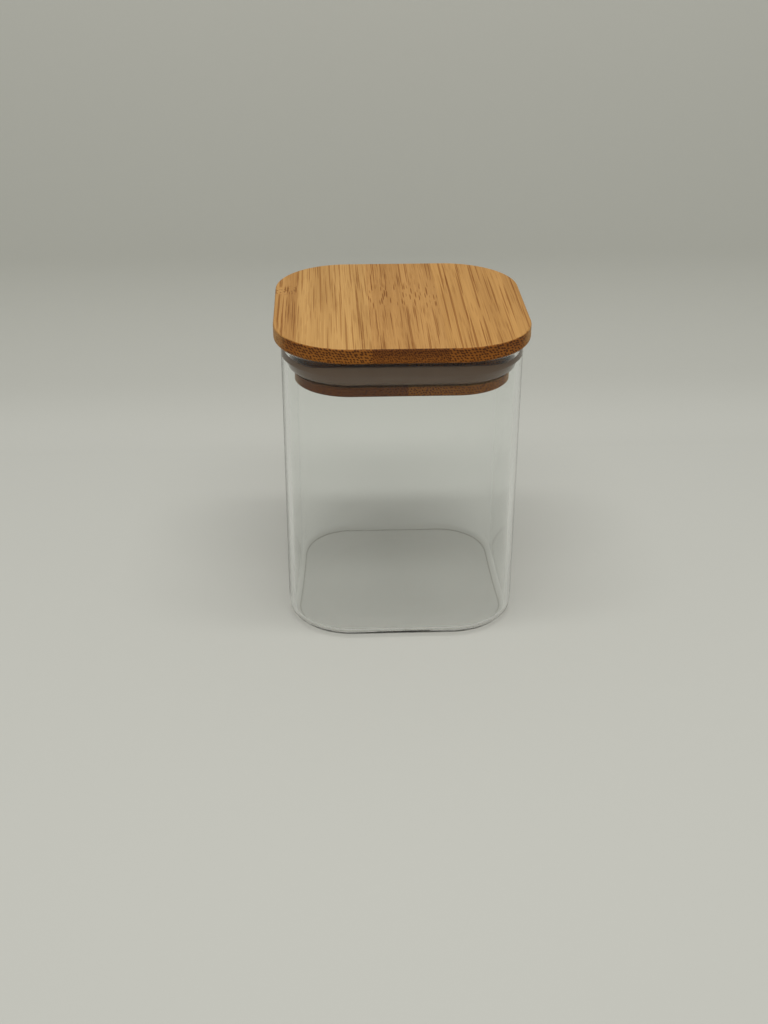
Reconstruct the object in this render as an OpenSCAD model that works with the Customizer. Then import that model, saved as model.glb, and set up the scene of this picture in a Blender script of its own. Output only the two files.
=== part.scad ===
// Square glass spice jar with a lift-off bamboo lid and a flared silicone seal.
// Every outline is the same square of corner centres, grown by its own radius, so
// a profile drawn as (radius, height) is swept round four corners and four sides.
// The jar stands on z = 0, centred on the z axis, with its front towards -y.

/* [Glass jar] */
// Outer width of the glass body, side to side and front to back
body_w = 70; // [68:0.5:76]
// Outer radius of the four upright corners of the glass
corner_r = 20; // [18:0.5:24]
// Height of the glass from the table to the top of the rim
glass_h = 90.1; // [70:0.1:120]
// Thickness of the glass wall
wall_t = 1.8; // [1.4:0.1:2.4]
// Thickness of the glass floor where it meets the standing ring
floor_t = 1.4; // [1:0.1:3]
// Radius of the outer heel, between the wall and the foot
heel_r = 3.3; // [2.5:0.1:4.5]
// Radius of the cove inside, between the wall and the floor
cove_r = 1.9; // [1.5:0.1:4]
// Height of the shallow hollow under the floor, which leaves a standing ring
push_up = 0.4; // [0.2:0.1:0.8]
// Width across that hollow
push_up_w = 50; // [36:1:54]

/* [Lid board] */
// How far the board stands out past the glass all round
overhang = 2; // [1:0.1:3.5]
// Thickness of the board
board_t = 4.6; // [4:0.1:8]
// Radius of the eased top edge
top_ease = 0.5; // [0.3:0.1:1]
// Radius of the rounded bottom edge
bottom_ease = 1; // [0.5:0.1:1.6]
// Gap that the seal keeps between the rim and the board
seat_gap = 0.3; // [0.2:0.1:1.2]

/* [Bamboo staves] */
// Width left of the outermost stave at the board's left side
board_left_w = 6.7; // [5:0.1:10]
// Width left of the outermost stave at the board's right side
board_right_w = 4.3; // [3:0.1:10]
// Width left of the outermost stave at the plug's left side
plug_left_w = 11.1; // [5:0.1:16]
// Width left of the outermost stave at the plug's right side
plug_right_w = 9.3; // [5:0.1:16]

/* [Plug] */
// Gap all round between the plug and the inside of the glass
plug_gap = 2; // [1.6:0.1:3]
// How far the plug reaches below the board
plug_h = 11.8; // [10.5:0.1:16]
// Thickness of the flange under the groove
flange_t = 3; // [2:0.1:4]
// Height of the groove that holds the seal
groove_h = 3; // [2.4:0.1:4]
// Depth of that groove
groove_d = 2.4; // [1.6:0.1:3.4]
// Chamfer round the lower edge of the flange
flange_chamfer = 0.4; // [0.2:0.1:0.8]

/* [Silicone seal] */
// Height of the whole seal
seal_h = 6.3; // [5.5:0.1:7]
// Height of the band of the seal that sits in the groove
band_h = 2; // [1.6:0.1:2.2]
// How far the band stands out past the flange before the lip turns up
band_proud = 0.5; // [0.2:0.1:0.9]
// Thickness of the flared lip
lip_t = 0.7; // [0.5:0.05:0.9]
// Height over which the lip flares out to the glass
flare_h = 3.6; // [2.6:0.1:4.6]
// Running gap between the lip and the glass
lip_gap = 0.15; // [0.12:0.01:0.25]
// Gap between the seal's band and the bottom of the groove
band_gap = 0.1; // [0.08:0.01:0.2]
// Gap between the seal's band and the flange below it
band_lift = 0.5; // [0.2:0.1:0.6]

/* [Hidden] */
$fn = 96;

// The corner curves of every outline are centred this far from both middle planes.
corner_c = body_w / 2 - corner_r;
bore_r = corner_r - wall_t;

board_z = glass_h + seat_gap;
board_r = corner_r + overhang;

plug_r = bore_r - plug_gap;
plug_z = board_z - plug_h;
groove_z = plug_z + flange_t;
groove_r = plug_r - groove_d;

band_r = groove_r + band_gap;
band_z = groove_z + band_lift;
root_r = plug_r + band_proud;
lip_r = bore_r - lip_gap;
flare_z = band_z + flare_h;
lip_top_z = band_z + seal_h;

// Radius of the sphere that cuts the shallow hollow under the floor.
push_up_ball_r = (pow(push_up_w / 2, 2) + pow(push_up, 2)) / (2 * push_up);

// How far a cutting shape runs past what it cuts.
past = 5;
// Larger than any half width here, for the slabs that part the staves.
far = 100;

// Glue joints from left to right. Whole staves share the width between the outermost
// ones equally: three in the board and two in the plug.
board_whole = 3;
plug_whole = 2;
board_joints = joints(corner_c + board_r, board_left_w, board_right_w, board_whole);
plug_joints = joints(corner_c + plug_r, plug_left_w, plug_right_w, plug_whole);

function joints(half_w, left_w, right_w, whole) = [
    for (i = [0 : whole])
        left_w - half_w + i * (2 * half_w - left_w - right_w) / whole,
];

// Sweeps a profile of (radius, height) once round the rounded square.
module swept() {
    for (turn = [0 : 90 : 270])
        rotate([0, 0, turn])
            translate([corner_c, corner_c, 0]) {
                rotate_extrude(angle = 90)
                    children();
                rotate([90, 0, 0])
                    linear_extrude(2 * corner_c)
                        children();
            }
}

// Fills the square between the four corner centres, from one height to another.
module core(z_low, z_high) {
    translate([-corner_c, -corner_c, z_low])
        cube([2 * corner_c, 2 * corner_c, z_high - z_low]);
}

// What a rounded edge of radius r takes off a corner that lies at the origin,
// with the solid towards -x and +y.
module edge_waste(r) {
    difference() {
        translate([-r, -past])
            square([r + past, r + past]);
        translate([-r, r])
            circle(r);
    }
}

// Section of the jar's outside: upright wall on a rounded heel.
module jar_outside() {
    difference() {
        square([corner_r, glass_h - wall_t / 2]);
        translate([corner_r, 0])
            edge_waste(heel_r);
    }
}

// Section of the space inside: upright bore down to a coved floor.
module jar_inside() {
    difference() {
        translate([0, floor_t])
            square([bore_r, glass_h]);
        translate([bore_r, floor_t])
            edge_waste(cove_r);
    }
}

// One wall of glass on a thin floor, with a melted round rim and a hollow foot.
module glass_jar() {
    color([0.86, 0.9, 0.88, 0.35])
        difference() {
            union() {
                swept()
                    difference() {
                        jar_outside();
                        jar_inside();
                    }
                swept()
                    translate([bore_r + wall_t / 2, glass_h - wall_t / 2])
                        circle(wall_t / 2);
                core(0, floor_t);
            }
            translate([0, 0, push_up - push_up_ball_r])
                sphere(push_up_ball_r, $fn = 240);
        }
}

// Section of the board: a square edge, eased above and rounded below.
module board_section() {
    difference() {
        square([board_r, board_t]);
        translate([board_r, board_t])
            mirror([0, 1])
                edge_waste(top_ease);
        translate([board_r, 0])
            edge_waste(bottom_ease);
    }
}

module board() {
    translate([0, 0, board_z]) {
        swept()
            board_section();
        core(0, board_t);
    }
}

// Section of the plug: a stub with a square groove above its chamfered flange.
module plug_section() {
    polygon([
        [0, plug_z],
        [plug_r - flange_chamfer, plug_z],
        [plug_r, plug_z + flange_chamfer],
        [plug_r, groove_z],
        [groove_r, groove_z],
        [groove_r, groove_z + groove_h],
        [plug_r, groove_z + groove_h],
        [plug_r, board_z],
        [0, board_z],
    ]);
}

module plug() {
    swept()
        plug_section();
    core(plug_z, board_z);
}

// The part of a board or plug that lies between two upright joints.
module between(x_low, x_high) {
    intersection() {
        children();
        translate([x_low, -far, 0])
            cube([x_high - x_low, 2 * far, 2 * far]);
    }
}

module board_stave(index) {
    edges = concat([-far], board_joints, [far]);
    color(index % 2 == 0 ? [0.74, 0.53, 0.3] : [0.7, 0.49, 0.27])
        between(edges[index], edges[index + 1])
            board();
}

module plug_stave(index) {
    edges = concat([-far], plug_joints, [far]);
    color(index % 2 == 0 ? [0.62, 0.43, 0.24] : [0.55, 0.37, 0.2])
        between(edges[index], edges[index + 1])
            plug();
}

// A point of the lip's flare, a quarter of an ellipse that leaves the band
// outwards and ends upright along the glass.
function flare_point(share, r_low, r_high, z_low, z_high) = [
    r_low + (r_high - r_low) * sin(90 * share),
    z_low + (z_high - z_low) * (1 - cos(90 * share)),
];

// Section of the seal: a band in the groove, and a lip that flares up to the glass.
module seal_section() {
    steps = 8;
    outer = [for (i = [0 : steps]) flare_point(i / steps, root_r, lip_r, band_z, flare_z)];
    inner = [
        for (i = [steps : -1 : 0])
            flare_point(i / steps, plug_r, lip_r - lip_t, band_z + lip_t, flare_z),
    ];
    polygon(concat(
        [[band_r, band_z]],
        outer,
        [[lip_r, lip_top_z], [lip_r - lip_t, lip_top_z]],
        inner,
        [[plug_r, band_z + band_h], [band_r, band_z + band_h]]
    ));
}

module silicone_seal() {
    color([0.82, 0.8, 0.77])
        swept()
            seal_section();
}

glass_jar();
silicone_seal();
board_stave(0);  // lid_stave_far_left
board_stave(1);  // lid_stave_left
board_stave(2);  // lid_stave_middle
board_stave(3);  // lid_stave_right
board_stave(4);  // lid_stave_far_right
plug_stave(0);  // plug_stave_far_left
plug_stave(1);  // plug_stave_left
plug_stave(2);  // plug_stave_right
plug_stave(3);  // plug_stave_far_right
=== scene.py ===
# %% [markdown]
# # A square glass jar with a bamboo lid
#
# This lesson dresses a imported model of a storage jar: clear glass with rounded corners, a flat
# lid glued up from bamboo staves, and a silicone seal round the plug under the lid. The packed
# model fixes every size and place, so each cell here only adds what the eye sees. All lengths
# are in metres, and MM turns millimetres into metres.

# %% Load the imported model
import math

import bpy
import numpy as np
from mathutils import Matrix, Vector


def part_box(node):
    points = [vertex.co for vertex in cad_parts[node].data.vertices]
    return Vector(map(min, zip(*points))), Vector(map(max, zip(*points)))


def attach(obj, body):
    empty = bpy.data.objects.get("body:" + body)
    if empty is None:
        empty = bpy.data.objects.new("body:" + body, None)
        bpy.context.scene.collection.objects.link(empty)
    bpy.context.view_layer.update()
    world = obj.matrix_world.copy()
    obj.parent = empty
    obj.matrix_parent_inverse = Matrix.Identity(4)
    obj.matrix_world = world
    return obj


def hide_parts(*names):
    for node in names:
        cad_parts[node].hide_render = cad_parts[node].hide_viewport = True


MM = 0.001

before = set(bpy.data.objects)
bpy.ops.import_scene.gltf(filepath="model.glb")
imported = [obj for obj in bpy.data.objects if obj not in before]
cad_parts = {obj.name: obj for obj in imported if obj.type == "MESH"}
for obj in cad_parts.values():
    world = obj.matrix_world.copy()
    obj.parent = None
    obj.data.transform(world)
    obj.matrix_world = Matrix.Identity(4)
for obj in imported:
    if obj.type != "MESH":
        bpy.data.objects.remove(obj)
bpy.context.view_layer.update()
scene = bpy.context.scene
scene.view_settings.view_transform = "Standard"

# %% [markdown]
# ## The camera
#
# The picture was taken from in front and above. Its outlines fix the camera: how far it tilts
# down, how far it stands from a point low in the jar, and how far round it has walked. The
# camera is built from those few numbers, as a photographer would describe the shot.

# %% Place the camera
FOCAL_PX = 1369.8
PICTURE_PX = 1024
SENSOR_MM = 36
camera_tilt = math.radians(28.35)
camera_roll = math.radians(0.168)
camera_turn = math.radians(-2.586)
camera_reach = 438.6 * MM
camera_aim = Vector((-4.42 * MM, 0, 24.66 * MM))


def camera_matrix():
    """Looks from behind the aim point along a line tilted down, rolls, then turns about Z."""
    ahead = Vector((0, math.cos(camera_tilt), -math.sin(camera_tilt)))
    right = Vector((1, 0, 0))
    up = right.cross(ahead)
    rolled_right = right * math.cos(camera_roll) + up * math.sin(camera_roll)
    rolled_up = up * math.cos(camera_roll) - right * math.sin(camera_roll)
    matrix = Matrix((rolled_right, rolled_up, -ahead)).transposed().to_4x4()
    matrix.translation = camera_aim - ahead * camera_reach
    return Matrix.Rotation(camera_turn, 4, "Z") @ matrix


camera = bpy.data.objects.new("camera", bpy.data.cameras.new("camera"))
scene.collection.objects.link(camera)
scene.camera = camera
camera.data.lens = FOCAL_PX * SENSOR_MM / PICTURE_PX
camera.data.sensor_width = SENSOR_MM
camera.data.clip_start = 10 * MM
camera.matrix_world = camera_matrix()
print("lens in mm:", round(camera.data.lens, 2))

# %% [markdown]
# ## One outline for every piece
#
# Seen from above, each piece is a square with round corners, and all of them share the same
# four corner centres. So one ring of directions serves the whole jar: a point of any piece is a
# corner centre plus a radius times the outward direction, and a section drawn as radius and
# height is carried round that ring.

# %% Make the ring of directions
glass_low, glass_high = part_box("glass_jar")
body_w = glass_high.x - glass_low.x
corner_r = 20 * MM
corner_c = body_w / 2 - corner_r
wall_t = 1.8 * MM


def ring(arc_steps=32, side_steps=16):
    """Corner centres and outward directions round the square, anticlockwise from the +x side.

    On a corner the direction turns through 90 degrees about a fixed centre. On a side it stays
    the same while the centre slides from one corner to the next.
    """
    turn = np.linspace(0, 0.5 * np.pi, arc_steps, endpoint=False)
    slide = np.linspace(0, 1, side_steps, endpoint=False)
    corners = np.array([[1, 1], [-1, 1], [-1, -1], [1, -1]], float) * corner_c
    centres = []
    angles = []
    for quarter in range(4):
        here = corners[quarter]
        there = corners[(quarter + 1) % 4]
        centres.append(np.repeat(here[None], arc_steps, 0))
        centres.append(here + slide[:, None] * (there - here))
        angles.append(turn + quarter * 0.5 * np.pi)
        angles.append(np.full(side_steps, (quarter + 1) * 0.5 * np.pi))
    angle = np.concatenate(angles)
    return np.concatenate(centres), np.stack([np.cos(angle), np.sin(angle)], 1)


ring_centre, ring_out = ring()
print("ring steps:", len(ring_centre))

# %% [markdown]
# A swept piece is a grid: one way runs along the section, the other way runs round the ring. A
# section that starts and ends on the middle of the jar closes with one point at each end, and a
# section that returns to its start closes on itself.

# %% Turn a grid into a mesh


def grid_faces(rows, columns, close_rows):
    """Quads between neighbouring rows and columns, where the columns always close."""
    row = np.arange(rows if close_rows else rows - 1)[:, None]
    column = np.arange(columns)[None, :]
    below = row * columns
    above = (row + 1) % rows * columns
    beside = (column + 1) % columns
    quads = np.stack([below + column, below + beside, above + beside, above + column], -1)
    return quads.reshape(-1, 4)


def mesh_object(name, points, quads, triangles=()):
    """An object at the origin with a smooth mesh, whose faces keep the given order."""
    mesh = bpy.data.meshes.new(name)
    faces = [tuple(map(int, face)) for face in (*quads, *triangles)]
    mesh.from_pydata(points.reshape(-1, 3).tolist(), [], faces)
    mesh.shade_smooth()
    piece = bpy.data.objects.new(name, mesh)
    scene.collection.objects.link(piece)
    return piece


print("faces of a closed 3 by 4 grid:", len(grid_faces(3, 4, True)))

# %% Carry a section round the ring


def carried(radius, height):
    """Carries a section round the ring: centre + radius * direction, at each height.

    radius and height may be arrays of one value for each section point, or grids with a
    second axis that runs round the ring.
    """
    radius = np.broadcast_to(np.reshape(radius, (len(radius), -1)), (len(radius), len(ring_out)))
    height = np.broadcast_to(np.reshape(height, (len(height), -1)), radius.shape)
    flat = ring_centre[None] + radius[..., None] * ring_out[None]
    return np.concatenate([flat, height[..., None]], -1)


def capped(name, points, low_z, high_z):
    """A grid whose first and last rows are each drawn together to one point in the middle."""
    rows, columns = points.shape[:2]
    cloud = np.concatenate([points.reshape(-1, 3), [[0, 0, low_z], [0, 0, high_z]]])
    first = np.arange(columns)
    beside = (first + 1) % columns
    start = rows * columns
    last = (rows - 1) * columns
    low_fan = np.stack([np.full(columns, start), beside, first], 1)
    high_fan = np.stack([np.full(columns, start + 1), last + first, last + beside], 1)
    fans = np.concatenate([low_fan, high_fan])
    return mesh_object(name, cloud, grid_faces(rows, columns, False), fans)


print("outline width at the wall in mm:", round(np.ptp(carried([corner_r], [0])[..., 0]) / MM, 2))

# %% [markdown]
# ## The glass
#
# The jar is one skin of glass. Its section runs from the middle of the underside, out over the
# standing ring, round the heel, up the wall, over the melted rim, down the inside, round the
# cove and back to the middle of the floor. One box cut out of another would give the same
# walls, but a section carried round the ring gives even rows of faces, and glass needs them:
# it bends what is seen through it, so an uneven face shows as a ripple.

# %% Name the glass's sizes
heel_r = 3.3 * MM
cove_r = 1.9 * MM
floor_t = 1.4 * MM
push_up = 0.4 * MM
push_up_r = 25 * MM
stand_w = 1.5 * MM
glass_top = glass_high.z
bore_r = corner_r - wall_t
foot_r = corner_r - heel_r
print("corner radius of the bore and of the foot in mm:", round(bore_r / MM, 2), round(foot_r / MM, 2))

# %% Draw the glass's section
STAND_STEPS = 10
HEEL_STEPS = 24
WALL_STEPS = 42
RIM_STEPS = 15
COVE_STEPS = 16


def arc(middle, radius, start, end, steps):
    """Points of a circle arc from one angle to another, as radius and height."""
    angle = np.radians(np.linspace(start, end, steps))
    return np.stack([middle[0] + radius * np.cos(angle), middle[1] + radius * np.sin(angle)], 1)


def upright(radius, start_z, end_z):
    """Points of a straight upright line, without its two ends."""
    height = np.linspace(start_z, end_z, WALL_STEPS)[1:-1]
    return np.stack([np.full(len(height), radius), height], 1)


def glass_section():
    """Radius and height from the standing ring, over the rim, to the edge of the floor."""
    rim_r = wall_t / 2
    rim_z = glass_top - rim_r
    stand_r = foot_r - stand_w * np.linspace(1, 0, STAND_STEPS, endpoint=False)
    stand = np.stack([stand_r, np.zeros(STAND_STEPS)], 1)
    heel = arc((foot_r, heel_r), heel_r, -90, 0, HEEL_STEPS)
    wall = upright(corner_r, heel_r, rim_z)
    rim = arc((corner_r - rim_r, rim_z), rim_r, 0, 180, RIM_STEPS)
    bore = upright(bore_r, rim_z, floor_t + cove_r)
    cove = arc((bore_r - cove_r, floor_t + cove_r), cove_r, 0, -90, COVE_STEPS)
    return np.concatenate([stand, heel, wall, rim, bore, cove])


print("points of the glass's section:", len(glass_section()))

# %% Make the jar
DISC_SHARES = np.linspace(0.06, 0.93, 20)


def disc(edge_radius, shares):
    """Rows that fill the middle: the edge outline drawn in by each share."""
    edge = ring_centre + edge_radius * ring_out
    return shares[:, None, None] * edge[None]


def under_height(flat):
    """Height of the hollow foot: push_up * (1 - (distance / push_up_r) ** 2), never below 0."""
    distance = np.linalg.norm(flat, axis=-1)
    return push_up * np.clip(1 - (distance / push_up_r) ** 2, 0, 1)


def glass_grid():
    """The underside, the section carried round and the floor, as one grid of points."""
    under = disc(foot_r, DISC_SHARES)
    under = np.concatenate([under, under_height(under)[..., None]], -1)
    section = glass_section()
    sides = carried(section[:, 0], section[:, 1])
    top = disc(bore_r - cove_r, DISC_SHARES[::-1])
    top = np.concatenate([top, np.full((*top.shape[:2], 1), floor_t)], -1)
    return np.concatenate([under, sides, top])


glass = capped("glass_body", glass_grid(), push_up, floor_t)
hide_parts("glass_jar")
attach(glass, "jar")
print("glass faces:", len(glass.data.polygons))

# %% [markdown]
# ## The painted shade at the foot
#
# Where the flat foot meets the heel, the glass shows a thin dark line: the shade under the jar, bent
# into view by the heel. That shade is painted into the glass's colour here. No texture knows where the
# line is, but the shape does: it runs where the flat foot meets the heel. So the painted shade is
# worked out for each point of the mesh and kept there as a number, which the material reads.

# %% Mark the line of painted shade
painted_foot_shade_w = 0.32 * MM
painted_foot_shade_h = 0.2 * MM


def outline_radius(points):
    """How far each point stands outside the square of corner centres, negative inside it."""
    beyond = np.abs(points[:, :2]) - corner_c
    outer = np.linalg.norm(np.maximum(beyond, 0), axis=1)
    return np.where(beyond.max(1) > 0, outer, beyond.max(1))


def painted_foot_shade_of_ring(points):
    """Painted shade from 0 to 1: exp(-((radius - foot_r) / painted_foot_shade_w) ** 2), and 0 above
    painted_foot_shade_h.
    """
    foot_shade_attribute = np.exp(-(((outline_radius(points) - foot_r) / painted_foot_shade_w) ** 2))
    return foot_shade_attribute * (points[:, 2] < painted_foot_shade_h)


def mesh_points(piece):
    """The points of a piece's mesh, one row each."""
    flat = np.empty(len(piece.data.vertices) * 3)
    piece.data.vertices.foreach_get("co", flat)
    return flat.reshape(-1, 3)


# Painted shade: how far each point of the glass is darkened for the line at the foot.
painted_foot_shade = np.ascontiguousarray(painted_foot_shade_of_ring(mesh_points(glass)), np.float32)
painted_foot_shade_layer = glass.data.attributes.new("painted_foot_shade", "FLOAT", "POINT")
painted_foot_shade_layer.data.foreach_set("value", painted_foot_shade)
print("points with some wear:", int((painted_foot_shade > 0.01).sum()), "of", len(painted_foot_shade))

# %% [markdown]
# ## Small tools for materials
#
# A material is a tree of nodes, and a tree takes many lines to write out. Each helper here adds
# one node and gives back its output, so that a finish reads like a sum. A value that is itself
# an output gets linked, and a plain value is written into the socket.

# %% Add and feed nodes


def new_material(name):
    """A node material with its tree and its Principled shader."""
    material = bpy.data.materials.new(name)
    material.use_nodes = True
    return material, material.node_tree, material.node_tree.nodes["Principled BSDF"]


def add_node(tree, kind, **settings):
    """A node of the kind, with its plain settings filled in."""
    node = tree.nodes.new(kind)
    for name, value in settings.items():
        setattr(node, name, value)
    return node


def feed(tree, socket, value):
    """Links another node's output to the socket, or writes a plain value into it."""
    if isinstance(value, bpy.types.NodeSocket):
        tree.links.new(value, socket)
    else:
        socket.default_value = value


def fill(node, values):
    """Writes plain values into the node's own sockets, found by name."""
    for name, value in values.items():
        node.inputs[name].default_value = value


print("a new material starts from the Principled shader")

# %% Work with values, colours and shaders


def math_node(tree, operation, *values, clamp=False):
    """The output of a Math node fed with the values."""
    node = add_node(tree, "ShaderNodeMath", operation=operation, use_clamp=clamp)
    for socket, value in zip(node.inputs, values):
        feed(tree, socket, value)
    return node.outputs[0]


def blend(tree, share, first, second, data="RGBA", kind="MIX"):
    """The output of a Mix node: first where share is 0, second where it is 1."""
    node = add_node(tree, "ShaderNodeMix", data_type=data, blend_type=kind)
    used = [socket for socket in node.inputs if socket.enabled]
    for socket, value in zip(used, (share, first, second)):
        feed(tree, socket, value)
    return next(socket for socket in node.outputs if socket.enabled)


def mix_shaders(tree, share, first, second):
    """The output of a Mix Shader node: the first shader where share is 0, the second at 1."""
    node = add_node(tree, "ShaderNodeMixShader")
    for socket, value in zip(node.inputs, (share, first, second)):
        feed(tree, socket, value)
    return node.outputs[0]


def ramp(tree, value, start, end, low=0.0, high=1.0):
    """A smooth step of the value: low before start, high after end."""
    node = add_node(tree, "ShaderNodeMapRange", interpolation_type="SMOOTHSTEP")
    names = ("Value", "From Min", "From Max", "To Min", "To Max")
    for name, given in zip(names, (value, start, end, low, high)):
        feed(tree, node.inputs[name], given)
    return node.outputs["Result"]


def parts_of(tree, vector):
    """The X, Y and Z outputs of a vector, found by those names."""
    node = add_node(tree, "ShaderNodeSeparateXYZ")
    feed(tree, node.inputs[0], vector)
    return node.outputs


print("node helpers ready")

# %% [markdown]
# ## The glass's finish
#
# Clear glass is a Principled shader with full transmission and no roughness. Its reflection is
# turned down with Specular Tint, because hardly any of the pale paper shows over the dark plug.
# The light that falls through the jar on to the paper is another matter: a shadow ray can't
# bend through refracting glass, so the jar would shade the paper far too much. Rays that carry
# light to the paper see a thin pane instead, which is clear from in front and more and more of
# a mirror at a slant.

# %% Mix the glass
GLASS_TINT = (0.985, 0.995, 0.99, 1)
# The dark tint is painted shade for the line where the foot meets the heel.
FOOT_SHADE_TINT = (0.36, 0.34, 0.28, 1)
CLEAR_GLASS = {
    "Base Color": GLASS_TINT,
    "Roughness": 0.0,
    "IOR": 1.48,
    "Transmission Weight": 1.0,
    "Specular Tint": (0.35, 0.35, 0.35, 1),
}
PANE_SLANT_POWER = 5
PANE_SLANT_SHARE = 0.6
PANE_LEAST_SHARE = 0.03


def thin_pane(tree):
    """A clear pane whose mirror share is slant share * facing ** power + least share."""
    facing = add_node(tree, "ShaderNodeLayerWeight")
    slant = math_node(tree, "POWER", facing.outputs["Facing"], PANE_SLANT_POWER)
    share = math_node(tree, "MULTIPLY_ADD", slant, PANE_SLANT_SHARE, PANE_LEAST_SHARE)
    clear = add_node(tree, "ShaderNodeBsdfTransparent")
    mirror = add_node(tree, "ShaderNodeBsdfAnisotropic")
    mirror.inputs["Roughness"].default_value = 0.0
    return mix_shaders(tree, share, clear.outputs[0], mirror.outputs[0])


glass_material, tree, shader = new_material("clear_glass")
fill(shader, CLEAR_GLASS)
# The glass's colour darkens to the painted shade's tint along the line at the foot.
foot_shade_attribute = add_node(tree, "ShaderNodeAttribute", attribute_name="painted_foot_shade")
feed(tree, shader.inputs["Base Color"], blend(tree, foot_shade_attribute.outputs["Fac"], GLASS_TINT, FOOT_SHADE_TINT))
rays = add_node(tree, "ShaderNodeLightPath").outputs
to_paper = math_node(tree, "MAXIMUM", rays["Is Shadow Ray"], rays["Is Diffuse Ray"])
surface = mix_shaders(tree, to_paper, shader.outputs[0], thin_pane(tree))
feed(tree, tree.nodes["Material Output"].inputs["Surface"], surface)
glass.data.materials.append(glass_material)
print("glass nodes:", len(tree.nodes))

# %% [markdown]
# ## The seal
#
# A soft grey-brown ring of silicone sits in a groove of the plug and flares up to the glass. It
# is pulled tight round the corners, so the top of its lip dips there, and the bamboo shows
# above it through the glass. It could be a bent tube, but its section isn't round, so it is
# drawn point by point and carried round the ring. The lip is pressed a hair into the glass,
# because only a lip in full contact shows out to the glass's outer edge.

# %% Name the seal's sizes
plug_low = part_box("plug_stave_left")[0]
seal_low, seal_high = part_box("silicone_seal")
plug_r = -plug_low.y - corner_c
groove_r = plug_r - 2.4 * MM
band_low = seal_low.z + 0.25 * MM
band_high = band_low + 1.7 * MM
band_r = plug_r + 0.02 * MM
root_r = plug_r + 0.5 * MM
flare_h = 3.6 * MM
flare_rise = 0.3 * MM
edge_round = 0.1 * MM
edge_lift = 0.02 * MM
lip_outer = bore_r + 0.03 * MM
lip_t = 0.7 * MM
corner_dip = 1.3 * MM
dip_rise = 3 * MM
print("the lip reaches out by, in mm:", round((lip_outer - plug_r) / MM, 2))

# %% Shape the seal
FLARE_STEPS = 12
LIP_STEPS = 9


def flare(start_r, end_r, start_z, angle):
    """A quarter of an ellipse: start_r + (end_r - start_r) sin, start_z + flare_h (1 - cos)."""
    radius = start_r + (end_r - start_r) * np.sin(angle)
    return np.stack([radius, start_z + flare_h * (1 - np.cos(angle))], 1)


def seal_rows():
    """Radius and height of the section: up the outside, over the lip, down the inside, the band."""
    angle = np.radians(np.linspace(0, 90, FLARE_STEPS))
    outside = flare(root_r, lip_outer, band_low + flare_rise, angle)
    lip = arc((lip_outer - lip_t / 2, seal_high.z - lip_t / 2), lip_t / 2, 0, 180, LIP_STEPS)
    inside = flare(band_r, lip_outer - lip_t, band_low + lip_t, angle[::-1])
    band = np.array([[band_r, band_high], [groove_r, band_high], [groove_r, band_low]])
    foot = np.array([[plug_r, band_low], [root_r - edge_round, band_low + edge_lift]])
    return np.concatenate([outside, lip, inside[:-1], band, foot])


def dip_share(height):
    """How much of the dip a height takes: 0 up to dip_rise over the band, then its square to 1."""
    start = band_low + dip_rise
    return np.clip((height - start) / (seal_high.z - start), 0, 1) ** 2


def corner_share():
    """How far into a corner each step of the ring lies: (2 x y) ** 3, 1 at the diagonal."""
    return (4 * ring_out[:, 0] ** 2 * ring_out[:, 1] ** 2) ** 1.5


seal_section = seal_rows()
dip = corner_dip * dip_share(seal_section[:, 1])[:, None] * corner_share()[None]
seal_grid = carried(seal_section[:, 0], seal_section[:, 1][:, None] - dip)
seal = mesh_object("seal_ring", seal_grid, grid_faces(*seal_grid.shape[:2], True))
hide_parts("silicone_seal")
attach(seal, "lid")
print("seal faces:", len(seal.data.polygons))

# %% [markdown]
# ## The silicone
#
# Moulded silicone is dyed all through, so its colour is one plain value. It is satin rather
# than shiny, and a thin coat over it gives the faint gleam of a surface that the mould left
# smooth.

# %% Mix the silicone
SILICONE = {
    "Base Color": (0.135, 0.085, 0.052, 1),
    "Roughness": 0.36,
    "IOR": 1.43,
    "Coat Weight": 0.2,
    "Coat Roughness": 0.15,
}
silicone, tree, shader = new_material("grey_brown_silicone")
fill(shader, SILICONE)
seal.data.materials.append(silicone)
print("silicone colour:", SILICONE["Base Color"][:3])

# %% [markdown]
# ## The bamboo
#
# Bamboo grows as pale flesh with dark bundles of fibre that run along the stalk. Cut along the
# grain, a bundle is a fine brown streak. Cut across it, a bundle is a dot. Both patterns are
# cells with dark cores, as a Voronoi texture draws them: stretched far along the stalk for the
# streaks, and a little under a millimetre apart in a flat pattern for the dots. Every stave is
# its own piece of a stalk, so the pattern is one node group, which each stave fills with its
# own seed, colour and joint of the stalk.

# %% Make the pattern helpers


def scaled(tree, vector, scale):
    """The vector times another, part by part."""
    node = add_node(tree, "ShaderNodeVectorMath", operation="MULTIPLY")
    for socket, value in zip(node.inputs, (vector, scale)):
        feed(tree, socket, value)
    return node.outputs[0]


def moved(tree, vector, offset):
    """The vector plus another."""
    node = add_node(tree, "ShaderNodeVectorMath", operation="ADD")
    for socket, value in zip(node.inputs, (vector, offset)):
        feed(tree, socket, value)
    return node.outputs[0]


def combined(tree, x=0.0, y=0.0, z=0.0):
    """A vector put together from three values."""
    node = add_node(tree, "ShaderNodeCombineXYZ")
    for socket, value in zip(node.inputs, (x, y, z)):
        feed(tree, socket, value)
    return node.outputs[0]


def noise(tree, place, stretch, detail):
    """Soft noise from 0 to 1, its grains stretched by one factor for each axis."""
    node = add_node(tree, "ShaderNodeTexNoise")
    feed(tree, node.inputs["Vector"], scaled(tree, place, stretch))
    fill(node, {"Scale": 1.0, "Detail": detail})
    return node.outputs["Fac"]


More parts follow.
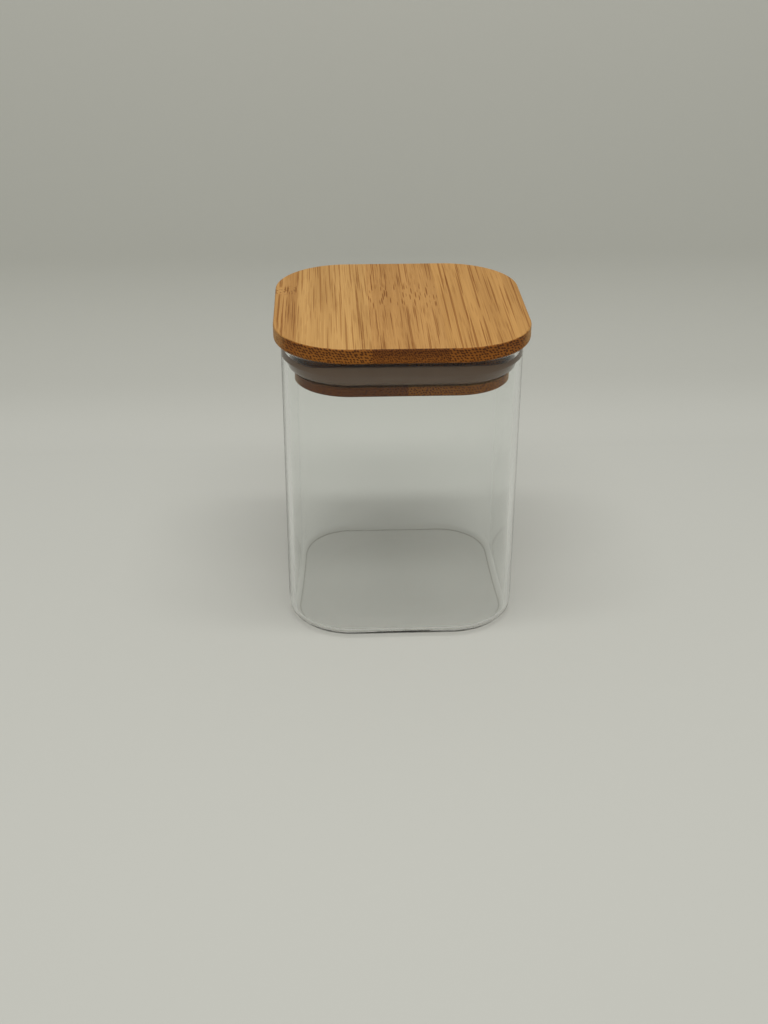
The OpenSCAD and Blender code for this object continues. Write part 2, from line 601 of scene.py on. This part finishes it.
def cells(tree, place, stretch, dimensions="3D", scatter=0.8):
    """The outputs Distance, to the nearest cell core, and Color, that cell's random colour."""
    node = add_node(tree, "ShaderNodeTexVoronoi", feature="F1", voronoi_dimensions=dimensions)
    feed(tree, node.inputs["Vector"], scaled(tree, place, stretch))
    fill(node, {"Scale": 1.0, "Randomness": scatter})
    return node.outputs


def core_mask(tree, far, core, soft):
    """1 within the core radius of a cell, falling to 0 over the soft width beyond it."""
    return ramp(tree, far, core, math_node(tree, "ADD", core, soft), 1.0, 0.0)


def centred(tree, value, reach):
    """A value from 0 to 1, spread from -reach to +reach."""
    return math_node(tree, "MULTIPLY_ADD", value, 2 * reach, -reach)


def times(tree, color, factor):
    """One colour times another."""
    return blend(tree, 1.0, color, factor, kind="MULTIPLY")


print("pattern helpers ready")

# %% [markdown]
# A ruled line looks false, because a stalk never grows quite straight. So the place where the
# pattern is read wanders sideways by about half a millimetre, slowly along the stalk.

# %% Place a stave in its stalk
SEED_STEPS = (13.7, 41.3, 7.9)
BEND_X_STRETCH = (0.06, 0.012, 0.06)
BEND_X_REACH = 0.6
BEND_Z_STRETCH = (0.06, 0.014, 0.06)
BEND_Z_REACH = 0.8
BEND_Z_OFFSET = (50.0, 90.0, 20.0)


def stalk_place(tree, mm, seed):
    """The place in mm plus seed * SEED_STEPS, so that each seed reads another part."""
    offsets = [math_node(tree, "MULTIPLY", seed, step) for step in SEED_STEPS]
    return moved(tree, mm, combined(tree, *offsets))


def bent(tree, here):
    """The place with a slow sideways wander added in x and z."""
    bend_x = noise(tree, here, BEND_X_STRETCH, detail=1.0)
    bend_z = noise(tree, moved(tree, here, BEND_Z_OFFSET), BEND_Z_STRETCH, detail=1.0)
    x = centred(tree, bend_x, BEND_X_REACH)
    z = centred(tree, bend_z, BEND_Z_REACH)
    return moved(tree, here, combined(tree, x=x, z=z))


print("most wander in mm:", BEND_X_REACH, BEND_Z_REACH)

# %% [markdown]
# The streaks are cells about 0.6 mm wide. Long ones of about five centimetres are mixed with
# short ones of about one. At a joint of the stalk the long fibres break off, so the short ones
# take over there.

# %% Draw the streaks
LONG_BUNDLES = {"stretch": (1.6, 0.018, 1.6), "spread": 0.4, "least": 0.04, "soft": 0.13}
SHORT_BUNDLES = {"stretch": (1.5, 0.09, 1.5), "spread": 0.36, "least": 0.03, "soft": 0.14}
SHORT_SHARE = 0.25
JOINT_WAVE_STRETCH = (0.35, 0.1, 0.35)
JOINT_WAVE_REACH = 1.5
JOINT_FADE = 0.45


def joint_mask(tree, here, along, place, width):
    """1 at the joint and 0 past its width, where the distance has a small wave added."""
    wave = noise(tree, here, JOINT_WAVE_STRETCH, detail=1.0)
    off = math_node(tree, "SUBTRACT", along, place)
    off = math_node(tree, "ADD", off, centred(tree, wave, JOINT_WAVE_REACH))
    far = math_node(tree, "DIVIDE", math_node(tree, "ABSOLUTE", off), width)
    return ramp(tree, far, JOINT_FADE, 1.0, 1.0, 0.0)


def bundles(tree, place, stretch, spread, least, soft):
    """Cell cores whose radius is the red of the cell's random colour * spread + least."""
    found = cells(tree, place, stretch)
    color = add_node(tree, "ShaderNodeSeparateColor")
    feed(tree, color.inputs[0], found["Color"])
    core = math_node(tree, "MULTIPLY_ADD", color.outputs["Red"], spread, least)
    return core_mask(tree, found["Distance"], core, soft)


def streak_mask(tree, place, joint, strength):
    """Long bundles with a share of short ones, which rises to all of them at a joint."""
    long_streak = bundles(tree, place, **LONG_BUNDLES)
    short_streak = bundles(tree, place, **SHORT_BUNDLES)
    share = math_node(tree, "MULTIPLY_ADD", joint, 1 - SHORT_SHARE, SHORT_SHARE)
    both = blend(tree, share, long_streak, short_streak, data="FLOAT")
    return math_node(tree, "MULTIPLY", both, strength, clamp=True)


print("width of a streak's cell in mm:", round(1 / LONG_BUNDLES["stretch"][0], 2))

# %% [markdown]
# Colour comes in layers. The flesh is lighter and darker in wide soft bands and in fine fibres,
# the streaks are a browner copy of the same flesh, and a joint of the stalk carries dark specks.

# %% Colour the long grain
BAND_STRETCH = (0.2, 0.006, 0.2)
FLESH_RANGE = (0.32, 0.68)
DARK_FLESH = (0.78, 0.72, 0.62, 1)
PALE_FLESH = (1.1, 1.12, 1.15, 1)
STREAK_TINT = (0.5, 0.36, 0.2, 1)
SPECK_STRETCH = (0.9, 0.9, 0.9)
SPECK_CORE = 0.18
SPECK_SOFT = 0.16
SPECK_TINT = (0.42, 0.3, 0.2, 1)


def long_grain_color(tree, here, flesh, fibre, streak, joint, joint_dark):
    """Flesh shaded by the mean of fibre and band, then the streaks, then a joint's specks."""
    band = noise(tree, here, BAND_STRETCH, detail=1.0)
    tone = math_node(tree, "MULTIPLY", math_node(tree, "ADD", fibre, band), 0.5)
    pale = ramp(tree, tone, *FLESH_RANGE)
    flesh = times(tree, flesh, blend(tree, pale, DARK_FLESH, PALE_FLESH))
    color = blend(tree, streak, flesh, times(tree, flesh, STREAK_TINT))
    far = cells(tree, here, SPECK_STRETCH)["Distance"]
    speck = core_mask(tree, far, SPECK_CORE, SPECK_SOFT)
    mark = math_node(tree, "MULTIPLY", math_node(tree, "MULTIPLY", speck, joint), joint_dark)
    return blend(tree, mark, color, times(tree, flesh, SPECK_TINT))


print("tint of a streak:", STREAK_TINT[:3])

# %% [markdown]
# On the cut ends the bundles are dots, packed in staggered rows. A flat pattern read across the
# stalk gives round dots of even size, which a slice through the stretched cells wouldn't. The
# stalk's outer wall has the most fibre, and here it lies to the top, so the dots grow and the
# flesh darkens towards the top of the board.

# %% Colour the end grain
RISE_RANGE_MM = (90.2, 95.0)
DOT_STRETCH = (1.2, 1.35, 1.0)
DOT_SCATTER = 0.55
ROW_STAGGER = 0.56
DOT_CORE = 0.24
DOT_CORE_GAIN = 0.1
DOT_SOFT = 0.12
DOT_SHARE = 0.78
DOT_SHARE_GAIN = 0.2
SHADE_SHARE = 0.25
SHADE_SHARE_GAIN = 0.5
END_TINT = (0.7, 0.45, 0.18, 1)
DOT_COLOR = (0.05, 0.013, 0.002, 1)
SHADE_COLOR = (0.07, 0.018, 0.003, 1)


def end_dots(tree, place, rise):
    """Cores of flat cells at (x + stagger * z, z), a little larger towards the top."""
    at = parts_of(tree, place)
    staggered = math_node(tree, "MULTIPLY_ADD", at["Z"], ROW_STAGGER, at["X"])
    across = combined(tree, x=staggered, y=at["Z"])
    far = cells(tree, across, DOT_STRETCH, "2D", DOT_SCATTER)["Distance"]
    core = math_node(tree, "MULTIPLY_ADD", rise, DOT_CORE_GAIN, DOT_CORE)
    return core_mask(tree, far, core, DOT_SOFT)


def end_grain_color(tree, flesh, dot, rise, end_dark):
    """Brown flesh with the dots over it, then a shade that grows towards the top."""
    dot_strength = math_node(tree, "MULTIPLY_ADD", end_dark, DOT_SHARE_GAIN, DOT_SHARE)
    dot_share = math_node(tree, "MULTIPLY", dot, dot_strength)
    color = blend(tree, dot_share, times(tree, flesh, END_TINT), DOT_COLOR)
    shade = math_node(tree, "MULTIPLY_ADD", rise, SHADE_SHARE_GAIN, SHADE_SHARE)
    return blend(tree, math_node(tree, "MULTIPLY", shade, end_dark), color, SHADE_COLOR)


print("dots apart in mm:", round(1 / DOT_STRETCH[0], 2), round(1 / DOT_STRETCH[1], 2))

# %% [markdown]
# The group puts these together. A face that looks along the stalk shows end grain and any other
# face shows long grain, which the direction of the face tells. Bundles have open pores, so the
# streaks and the dots are slightly sunk. Streaks and cut ends are also a little rougher.

# %% Name the group's sockets
BAMBOO_INPUTS = {
    "Seed": ("NodeSocketFloat", 0.0),
    "Flesh": ("NodeSocketColor", (0.46, 0.245, 0.078, 1)),
    "Streaks": ("NodeSocketFloat", 1.0),
    "Fineness": ("NodeSocketFloat", 1.0),
    "Joint Place": ("NodeSocketFloat", 200.0),
    "Joint Width": ("NodeSocketFloat", 4.0),
    "Joint Dark": ("NodeSocketFloat", 0.0),
    "End Dark": ("NodeSocketFloat", 0.5),
}
BAMBOO_OUTPUTS = {
    "Color": "NodeSocketColor",
    "Roughness": "NodeSocketFloat",
    "Height": "NodeSocketFloat",
}


def empty_group():
    """The group with its named inputs, their usual values and its outputs."""
    group = bpy.data.node_groups.new("bamboo_grain", "ShaderNodeTree")
    for name, (kind, value) in BAMBOO_INPUTS.items():
        socket = group.interface.new_socket(name, in_out="INPUT", socket_type=kind)
        socket.default_value = value
    for name, kind in BAMBOO_OUTPUTS.items():
        group.interface.new_socket(name, in_out="OUTPUT", socket_type=kind)
    return group


print("inputs and outputs of the group:", len(BAMBOO_INPUTS), len(BAMBOO_OUTPUTS))

# %% Make the bamboo group
END_FACING_RANGE = (0.3, 0.62)
FIBRE_STRETCH = (3.2, 0.03, 3.2)
FLESH_ROUGHNESS = 0.5
STREAK_ROUGHER = 0.1
END_ROUGHER = 0.14
SUNK_HEIGHT = -0.6
FIBRE_HEIGHT = 0.4


def bamboo_group():
    """A node group that turns a place on a stave into bamboo colour, roughness and height."""
    group = empty_group()
    given = add_node(group, "NodeGroupInput").outputs
    result = add_node(group, "NodeGroupOutput").inputs
    place = add_node(group, "ShaderNodeTexCoord").outputs
    mm = scaled(group, place["Object"], (1 / MM, 1 / MM, 1 / MM))
    at = parts_of(group, mm)
    here = stalk_place(group, mm, given["Seed"])
    sized = add_node(group, "ShaderNodeVectorMath", operation="SCALE")
    feed(group, sized.inputs[0], bent(group, here))
    feed(group, sized.inputs["Scale"], given["Fineness"])
    fine = sized.outputs[0]
    joint = joint_mask(group, here, at["Y"], given["Joint Place"], given["Joint Width"])
    streak = streak_mask(group, fine, joint, given["Streaks"])
    fibre = noise(group, fine, FIBRE_STRETCH, detail=3.0)
    layers = (given["Flesh"], fibre, streak, joint, given["Joint Dark"])
    long_color = long_grain_color(group, here, *layers)
    rise = ramp(group, at["Z"], *RISE_RANGE_MM)
    dot = end_dots(group, fine, rise)
    end_color = end_grain_color(group, given["Flesh"], dot, rise, given["End Dark"])
    facing = math_node(group, "ABSOLUTE", parts_of(group, place["Normal"])["Y"])
    end = ramp(group, facing, *END_FACING_RANGE)
    feed(group, result["Color"], blend(group, end, long_color, end_color))
    rough = math_node(group, "MULTIPLY_ADD", streak, STREAK_ROUGHER, FLESH_ROUGHNESS)
    feed(group, result["Roughness"], math_node(group, "MULTIPLY_ADD", end, END_ROUGHER, rough))
    sunk = math_node(group, "MAXIMUM", streak, math_node(group, "MULTIPLY", dot, end))
    dents = math_node(group, "MULTIPLY", sunk, SUNK_HEIGHT)
    feed(group, result["Height"], math_node(group, "MULTIPLY_ADD", fibre, FIBRE_HEIGHT, dents))
    return group


bamboo = bamboo_group()
print("bamboo nodes:", len(bamboo.nodes))

# %% [markdown]
# ## The staves
#
# The board's five staves and the plug's four are pieces of the imported model, and their shapes are
# right already, so each one only gets a material. A stave names what sets it apart, and keeps the
# group's usual values for the rest. Places and widths of a joint are in millimetres along the grain.
# The far left stave has a joint with dark specks, and the middle one has a faint wide joint. The plug
# sits in shade under the board and is seen through the glass. Its flesh is a much darker copy of the
# board's, as painted shade, and its right half is paler.

# %% List the staves
# Painted shade: the plug's flesh is a darker copy of the board's, for the plug in shade under the
# board.
PLUG_SHADED_DARK = (0.21, 0.1, 0.022, 1)
PLUG_SHADED_PALE = (0.36, 0.195, 0.044, 1)
STAVES = {
    "lid_stave_far_left": {
        "Seed": 3.1,
        "Flesh": (0.45, 0.235, 0.07, 1),
        "Streaks": 0.95,
        "Joint Place": 12.0,
        "Joint Width": 4.5,
        "Joint Dark": 1.0,
        "End Dark": 0.45,
    },
    "lid_stave_left": {
        "Seed": 7.4,
        "Flesh": (0.49, 0.27, 0.084, 1),
        "Streaks": 0.85,
        "End Dark": 0.45,
    },
    "lid_stave_middle": {
        "Seed": 11.9,
        "Flesh": (0.445, 0.23, 0.067, 1),
        "Fineness": 1.3,
        "Joint Place": 6.0,
        "Joint Width": 13.0,
        "Joint Dark": 0.12,
        "End Dark": 0.9,
    },
    "lid_stave_right": {
        "Seed": 17.2,
        "Flesh": (0.45, 0.232, 0.064, 1),
        "Fineness": 0.95,
    },
    "lid_stave_far_right": {
        "Seed": 23.5,
        "Flesh": (0.425, 0.218, 0.06, 1),
        "Streaks": 0.95,
    },
    "plug_stave_far_left": {"Seed": 31.3, "Flesh": PLUG_SHADED_DARK, "Streaks": 0.7, "End Dark": 0.85},
    "plug_stave_left": {"Seed": 37.7, "Flesh": PLUG_SHADED_DARK, "Streaks": 0.7, "End Dark": 0.95},
    "plug_stave_right": {"Seed": 43.2, "Flesh": PLUG_SHADED_PALE, "Streaks": 0.7, "End Dark": 0.6},
    "plug_stave_far_right": {"Seed": 49.8, "Flesh": PLUG_SHADED_PALE, "Streaks": 0.7, "End Dark": 0.6},
}
print("staves listed:", len(STAVES))

# %% Dress each stave
BAMBOO_SPECULAR = 0.16
BUMP = {"Strength": 0.35, "Distance": 0.12 * MM}


def bamboo_material(name, values):
    """A material that places the bamboo group with one stave's own values."""
    material, tree, shader = new_material("bamboo_" + name)
    grain = add_node(tree, "ShaderNodeGroup", node_tree=bamboo)
    fill(grain, values)
    shader.inputs["Specular IOR Level"].default_value = BAMBOO_SPECULAR
    bump = add_node(tree, "ShaderNodeBump")
    fill(bump, BUMP)
    feed(tree, shader.inputs["Base Color"], grain.outputs["Color"])
    feed(tree, shader.inputs["Roughness"], grain.outputs["Roughness"])
    feed(tree, bump.inputs["Height"], grain.outputs["Height"])
    feed(tree, shader.inputs["Normal"], bump.outputs["Normal"])
    return material


for node_name, values in STAVES.items():
    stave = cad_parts[node_name]
    stave.data.materials.clear()
    stave.data.materials.append(bamboo_material(node_name, values))
print("staves dressed:", len(STAVES))

# %% [markdown]
# ## Floor and backdrop
#
# The jar stands on pale paper in front of a paper wall. On a real set that is often one sheet,
# bent up behind the object. Here the floor is a flat sheet of its own, so that it reaches under
# every view, and a second sheet rises from it in a quarter circle to the wall. The second sheet
# neither shades the floor nor throws light on it, and both are clear from behind, so that they
# never hide the jar from a camera behind them.

# %% Draw a sheet of paper
floor_reach = 1.5
floor_rows = 61
half_width = 0.9
sweep_start = 97 * MM
sweep_r = 60 * MM
wall_top = 0.9
SWEEP_STEPS = 33
WALL_ROWS = 20


def sheet_grid(run_y, run_z, columns=25):
    """A sheet that runs along a line of y and z, drawn out to both sides along x."""
    run_x = np.linspace(-half_width, half_width, columns)
    shape = (len(run_y), columns)
    x = np.broadcast_to(run_x, shape)
    y = np.broadcast_to(run_y[:, None], shape)
    z = np.broadcast_to(run_z[:, None], shape)
    return np.stack([x, y, z], -1)


def open_faces(rows, columns):
    """Quads of a grid that closes in neither way."""
    row = np.arange(rows - 1)[:, None] * columns
    corner = row + np.arange(columns - 1)[None, :]
    quads = [corner, corner + 1, corner + columns + 1, corner + columns]
    return np.stack(quads, -1).reshape(-1, 4)


def backdrop_run():
    """A quarter circle that leaves the floor and then a straight wall, as y and z."""
    bend = np.radians(np.linspace(0, 90, SWEEP_STEPS))
    wall_z = np.linspace(sweep_r, wall_top, WALL_ROWS)[1:]
    run_y = sweep_start + sweep_r * np.sin(bend)
    run_z = sweep_r * (1 - np.cos(bend))
    return np.append(run_y, np.full(len(wall_z), run_y[-1])), np.append(run_z, wall_z)


print("the wall stands behind the jar's middle by, in mm:", round(backdrop_run()[0][-1] / MM))

# %% Lay the floor and hang the backdrop
floor_y = np.linspace(-floor_reach, floor_reach, floor_rows)
floor_points = sheet_grid(floor_y, np.zeros(floor_rows))
floor = mesh_object("floor", floor_points, open_faces(*floor_points.shape[:2]))
backdrop_points = sheet_grid(*backdrop_run())
backdrop = mesh_object("backdrop", backdrop_points, open_faces(*backdrop_points.shape[:2]))
backdrop.visible_diffuse = False
backdrop.visible_shadow = False
print("floor and backdrop faces:", len(floor.data.polygons), len(backdrop.data.polygons))

# %% Make the paper
FLOOR_COLOR = (0.533, 0.533, 0.485, 1)
WALL_COLOR = (0.47, 0.47, 0.425, 1)
MATT = {"Roughness": 0.8, "Specular IOR Level": 0.2}
fade_low = -3.2 * MM
fade_high = 16 * MM


def paper(name, color):
    """Pale matt paper that is clear from behind, and fades to the floor's colour at its foot."""
    material, tree, shader = new_material(name)
    fill(shader, MATT)
    place = add_node(tree, "ShaderNodeTexCoord")
    height = ramp(tree, parts_of(tree, place.outputs["Object"])["Z"], fade_low, fade_high)
    feed(tree, shader.inputs["Base Color"], blend(tree, height, FLOOR_COLOR, color))
    back = add_node(tree, "ShaderNodeNewGeometry").outputs["Backfacing"]
    clear = add_node(tree, "ShaderNodeBsdfTransparent")
    surface = mix_shaders(tree, back, shader.outputs[0], clear.outputs[0])
    feed(tree, tree.nodes["Material Output"].inputs["Surface"], surface)
    return material


floor.data.materials.append(paper("floor_paper", FLOOR_COLOR))
backdrop.data.materials.append(paper("backdrop_paper", WALL_COLOR))
print("paper colours:", FLOOR_COLOR[:3], WALL_COLOR[:3])

# %% [markdown]
# ## The light
#
# The room is an even, nearly white fill from all sides. What a camera ray or a ray through
# glass sees past the paper is a plain grey instead, so that the edge of the set stays quiet.
# Two long soft strips hang above the jar, one over it and one in front: the soft band of
# shadow behind the jar comes from the two of them.

# %% Light the room
ROOM = {"Color": (1, 1, 0.98, 1), "Strength": 0.55}
SEEN_COLOR = (0.42, 0.42, 0.375, 1)

world = bpy.data.worlds.new("room")
world.use_nodes = True
tree = world.node_tree
fill_light = tree.nodes["Background"]
fill(fill_light, ROOM)
seen = add_node(tree, "ShaderNodeBackground")
seen.inputs["Color"].default_value = SEEN_COLOR
rays = add_node(tree, "ShaderNodeLightPath").outputs
looking = math_node(tree, "MAXIMUM", rays["Is Camera Ray"], rays["Is Transmission Ray"])
surface = mix_shaders(tree, looking, fill_light.outputs[0], seen.outputs[0])
feed(tree, tree.nodes["World Output"].inputs["Surface"], surface)
scene.world = world
print("fill strength:", ROOM["Strength"])

# %% Hang the lamps
LAMP_AIM = Vector((0, 0, 0.05))
LAMP_WIDTH = 0.5
LAMPS = {
    "top_strip": {"place": (0, -0.09, 0.6), "depth": 0.06, "power": 1.15},
    "front_strip": {"place": (0, -0.30, 0.6), "depth": 0.1, "power": 0.92},
}


def soft_light(name, place, depth, power):
    """A rectangular lamp that faces the point that all the lamps aim at."""
    lamp = bpy.data.lights.new(name, "AREA")
    lamp.shape = "RECTANGLE"
    lamp.size = LAMP_WIDTH
    lamp.size_y = depth
    lamp.energy = power
    holder = bpy.data.objects.new(name, lamp)
    scene.collection.objects.link(holder)
    holder.location = place
    holder.rotation_euler = (LAMP_AIM - Vector(place)).to_track_quat("-Z", "Y").to_euler()


for name, values in LAMPS.items():
    soft_light(name, **values)
print("lamps:", len(LAMPS))
